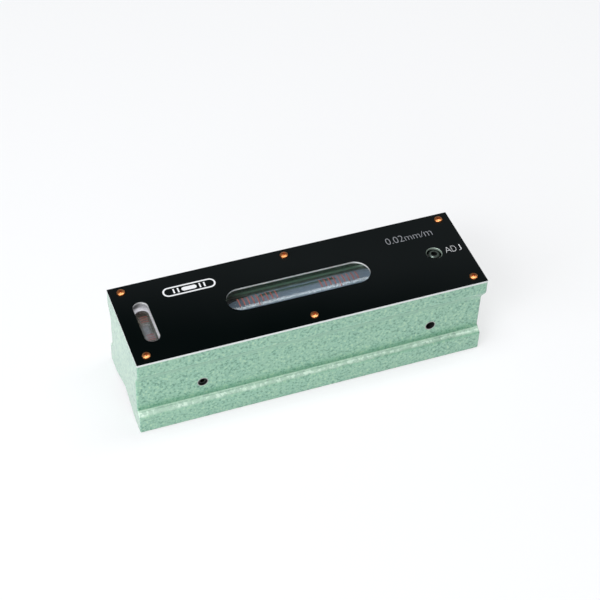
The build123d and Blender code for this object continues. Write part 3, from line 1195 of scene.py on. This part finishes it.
@dataclass
class MainVial:
    """The long vial, its bed in the carrier and its graduations."""

    glass: Finish = ClearGlass("main_vial_glass", tint=(0.93, 0.96, 0.97), index=1.47)
    spirit: Finish = ClearGlass("main_vial_spirit", tint=(0.80, 0.86, 0.91), index=1.36)
    plaster: Finish = SetPlaster("vial_plaster")
    casting: Finish = CarrierPaint("carrier_paint")
    red: Finish = Ink(
        "graduation_red", colour=(0.42, 0.09, 0.055), thin=(0.46, 0.17, 0.12), roughness=0.45
    )
    axis_z: float = 30.9 * MM
    radius: float = 7.0 * MM
    zero: float = 17.7 * MM
    pitch: float = 2.0 * MM
    marks_a_side: int = 4
    line: float = 0.37 * MM
    long_mark: Span = (-26.5, 30.0)
    short_mark: Span = (-15.0, 26.5)
    fill: SpiritFill = field(
        default_factory=lambda: SpiritFill(
            radius=5.62 * MM, half_length=42.0 * MM, bubble_length=35.4 * MM, bubble_width=6.0 * MM
        )
    )

    def build(self) -> None:
        """Finish the vial, fill it and draw its marks."""
        clear = ("main_vial", "main_vial_end_left", "main_vial_end_right")
        dress(self.glass, *clear)
        dress(self.plaster, "main_vial_plaster_left", "main_vial_plaster_right")
        dress(self.casting, "vial_carrier")
        axis = Matrix.Translation((0.0, 0.0, self.axis_z))
        spirit = add_piece(
            "main_vial_spirit", self.fill.mesh(axis), self.spirit.material(), Body.CARRIER
        )
        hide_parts("main_vial_fluid")
        let_light_through(spirit, *(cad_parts[name] for name in clear))
        marks = Graduations(self.radius)
        for side in (-1, 1):
            for count in range(-self.marks_a_side, self.marks_a_side + 1):
                x = side * self.zero + count * self.pitch
                turns = self.short_mark if count else self.long_mark
                marks.mark(Matrix.Translation((x, 0.0, self.axis_z)), self.line, *turns)
        add_piece("main_vial_graduations", marks.mesh(), self.red.material(), Body.CARRIER)


@dataclass
class CrossVial:
    """The small vial across the level, bedded in plaster."""

    glass: Finish = ClearGlass(
        "cross_vial_glass",
        tint=(0.86, 0.88, 0.88),
        index=1.47,
        fades=(
            Fade(Axis.ACROSS, -1.8 * MM, (4.5 * MM, 8.0 * MM), (0.56, 0.49, 0.41)),
            # Darker olive towards the glass's sides along the level: painted shade of its curved wall.
            Fade(Axis.ALONG, -64.7 * MM, (1.2 * MM, 2.2 * MM), (0.52, 0.53, 0.46)),
        ),
    )
    spirit: Finish = ClearGlass("cross_vial_spirit", tint=(0.70, 0.74, 0.76), index=1.36)
    plaster: Finish = SetPlaster("cross_vial_plaster")
    red: Finish = Ink("cross_red", colour=(0.26, 0.06, 0.045), thin=(0.30, 0.12, 0.10), roughness=0.45)
    centre: Point3 = (-64.7 * MM, -1.8 * MM, 33.75 * MM)
    radius: float = 4.25 * MM
    line: float = 0.35 * MM
    marks: tuple[float, ...] = (3.75 * MM, 5.05 * MM, 6.35 * MM)
    mark_reach: float = 21.0
    fill: SpiritFill = field(
        default_factory=lambda: SpiritFill(
            radius=3.37 * MM,
            half_length=11.62 * MM,
            bubble_length=7.0 * MM,
            bubble_width=3.8 * MM,
            round_ends=True,
        )
    )

    def build(self) -> None:
        """Finish the vial, fill it and draw its marks."""
        dress(self.glass, "cross_vial")
        dress(self.plaster, "cross_vial_plaster")
        turn = Matrix.Rotation(math.pi / 2, 4, "Z")
        spirit = add_piece(
            "cross_vial_spirit",
            self.fill.mesh(Matrix.Translation(self.centre) @ turn),
            self.spirit.material(),
            Body.LEVEL,
        )
        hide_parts("cross_vial_fluid")
        let_light_through(spirit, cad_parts["cross_vial"])
        drawn = Graduations(self.radius)
        for side in (-1, 1):
            for offset in self.marks:
                station = Matrix.Translation(Vector(self.centre) + Vector((0.0, side * offset, 0.0)))
                drawn.mark(station @ turn, self.line, -self.mark_reach, self.mark_reach)
        add_piece("cross_vial_graduations", drawn.mesh(), self.red.material(), Body.LEVEL)


@dataclass(frozen=True)
class Coil:
    """A spring of round wire, wound about the vertical."""

    wire: float = 0.25 * MM
    pitch: float = 1.75 * MM
    steps: int = 32
    sides: int = 12

    def mesh(self, low: Vector, high: Vector) -> bpy.types.Mesh:
        """Wind the coil so that it fills a box.

        Args:
            low: The box's lowest corner.
            high: Its highest corner.

        Returns:
            The coil's mesh, closed at both ends.
        """
        middle = (low + high) / 2
        radius = (high.x - low.x) / 2 - self.wire
        rise = high.z - low.z - 2 * self.wire
        turns = rise / self.pitch
        stations = math.ceil(turns * self.steps)
        corners: list[Vector] = []
        for station in range(stations + 1):
            angle = math.tau * turns * station / stations
            outward = Vector((math.cos(angle), math.sin(angle), 0.0))
            along = Vector((-outward.y * radius, outward.x * radius, self.pitch / math.tau)).normalized()
            across = outward.cross(along)
            height = low.z + self.wire + rise * station / stations
            axis = Vector((middle.x, middle.y, height)) + radius * outward
            for side in range(self.sides):
                turn = math.tau * side / self.sides
                corners.append(axis + self.wire * (math.cos(turn) * outward + math.sin(turn) * across))
        faces: list[tuple[int, ...]] = [tuple(range(self.sides))]
        for ring in range(stations):
            start = ring * self.sides
            for side in range(self.sides):
                after = (side + 1) % self.sides
                lower, upper = start + side, start + after
                faces.append((lower, lower + self.sides, upper + self.sides, upper))
        last = stations * self.sides
        faces.append(tuple(range(last + self.sides - 1, last - 1, -1)))
        mesh = bpy.data.meshes.new("coil")
        mesh.from_pydata(corners, [], faces)
        mesh.shade_smooth()
        return mesh


@dataclass
class Adjuster:
    """The adjusting screw and the steel parts that it works with."""

    dull_steel: Finish = SocketHead("adjuster_steel")
    steel: Finish = TurnedMetal(
        "bright_steel", tone=(0.56, 0.57, 0.57), shade=(0.40, 0.41, 0.41), roughness=0.32
    )
    coil: Coil = Coil()

    def build(self) -> None:
        """Finish the screw, its washer and the pivot's pin, and wind the spring that follows the arm."""
        dress(self.dull_steel, "adjusting_screw")
        dress(self.steel, "thrust_washer", "pivot_pin")
        low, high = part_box("adjusting_spring")
        spring = add_piece(
            "adjusting_spring_coil", self.coil.mesh(low, high), self.steel.material(), None
        )
        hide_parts("adjusting_spring")
        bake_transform(spring)


@dataclass(frozen=True)
class Softbox:
    """A square studio lamp that faces a point."""

    name: str
    place: Point3
    width: float
    height: float
    power: float
    tint: Colour = (1.0, 1.0, 1.0)
    aim: Point3 = (0.0, 0.0, 0.02)

    def build(self) -> None:
        """Hang the lamp in the studio."""
        lamp = bpy.data.lights.new(self.name, "AREA")
        lamp.shape = "RECTANGLE"
        lamp.size = self.width
        lamp.size_y = self.height
        lamp.energy = self.power
        lamp.color = self.tint
        holder = bpy.data.objects.new(self.name, lamp)
        bpy.context.scene.collection.objects.link(holder)
        towards = Vector(self.aim) - Vector(self.place)
        turned = towards.to_track_quat("-Z", "Y").to_matrix().to_4x4()
        holder.matrix_world = Matrix.Translation(self.place) @ turned


@dataclass
class Studio:
    """White floor, plain world and softboxes."""

    floor: Finish = StudioFloor("studio_floor")
    floor_reach: float = 6.0
    white: Colour = (1.0, 1.0, 1.0)
    world_level: float = 0.10
    lamps: tuple[Softbox, ...] = (
        Softbox("overhead_softbox", (0.20, 0.06, 1.15), 1.4, 0.32, 9.1, aim=(0.20, 0.0, 0.02)),
        Softbox("front_softbox", (-0.60, -0.80, 0.25), 0.9, 0.3, 2.8),
        Softbox("key_softbox", (-0.70, -0.62, 0.90), 0.5, 0.35, 6.1),
        Softbox("left_softbox", (-1.40, -0.40, 0.70), 1.0, 0.8, 10.8, tint=(0.93, 0.95, 1.0)),
    )

    def _floor(self) -> None:
        """Lay the floor."""
        reach = self.floor_reach
        mesh = bpy.data.meshes.new("studio_floor")
        corners = [(i * reach, j * reach, 0.0) for i, j in ((-1, -1), (1, -1), (1, 1), (-1, 1))]
        mesh.from_pydata(corners, [], [(0, 1, 2, 3)])
        mesh.materials.append(self.floor.material())
        floor = bpy.data.objects.new("studio_floor", mesh)
        bpy.context.scene.collection.objects.link(floor)

    def _world(self) -> None:
        """Make the world white for the camera and dim for everything else."""
        world = bpy.data.worlds.new("studio")
        bpy.context.scene.world = world
        tree = ShaderTree(world)
        seen = tree.node("ShaderNodeLightPath", output="Is Camera Ray")
        level = seen.between(self.world_level, 1.0)
        back = tree.node("ShaderNodeBackground", values={"Color": self.white, "Strength": level})
        tree.add("ShaderNodeOutputWorld", values={"Surface": back})

    def build(self) -> None:
        """Set up the studio."""
        self._floor()
        self._world()
        for lamp in self.lamps:
            lamp.build()
        bpy.context.scene.view_settings.view_transform = "Standard"


@dataclass
class PhotoCamera:
    """Camera at the photograph's viewing angle."""

    azimuth: float = -21.9726
    elevation: float = 45.3502
    roll: float = 2.5654
    aim: Point3 = (6.6165 * MM, 14.5626 * MM, 15.7863 * MM)
    distance: float = 685.7933 * MM
    lens: float = 96.573
    sensor: float = 36.0
    near: float = 0.01

    def build(self) -> None:
        """Place the camera and make it the scene's."""
        turn, height, roll = map(math.radians, (self.azimuth, self.elevation, self.roll))
        flat = math.cos(height)
        back = Vector((math.sin(turn) * flat, -math.cos(turn) * flat, math.sin(height)))
        right = Vector((0.0, 0.0, 1.0)).cross(back).normalized()
        up = back.cross(right)
        columns = (
            right * math.cos(roll) + up * math.sin(roll),
            up * math.cos(roll) - right * math.sin(roll),
            back,
        )
        data = bpy.data.cameras.new("photo_camera")
        data.lens = self.lens
        data.sensor_width = self.sensor
        data.clip_start = self.near
        camera = bpy.data.objects.new("photo_camera", data)
        bpy.context.scene.collection.objects.link(camera)
        turned = Matrix(columns).transposed().to_4x4()
        camera.matrix_world = Matrix.Translation(Vector(self.aim) + back * self.distance) @ turned
        bpy.context.scene.camera = camera


def main() -> None:
    """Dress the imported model, light it and place the camera."""
    logging.basicConfig(level=logging.INFO, format="%(name)s: %(message)s")
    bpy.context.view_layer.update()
    for assembly in (CastBody, CoverPlate, MainVial, CrossVial, Adjuster, Studio, PhotoCamera):
        LOG.info("building %s", assembly.__name__)
        assembly().build()


if __name__ == "__main__":
    main()
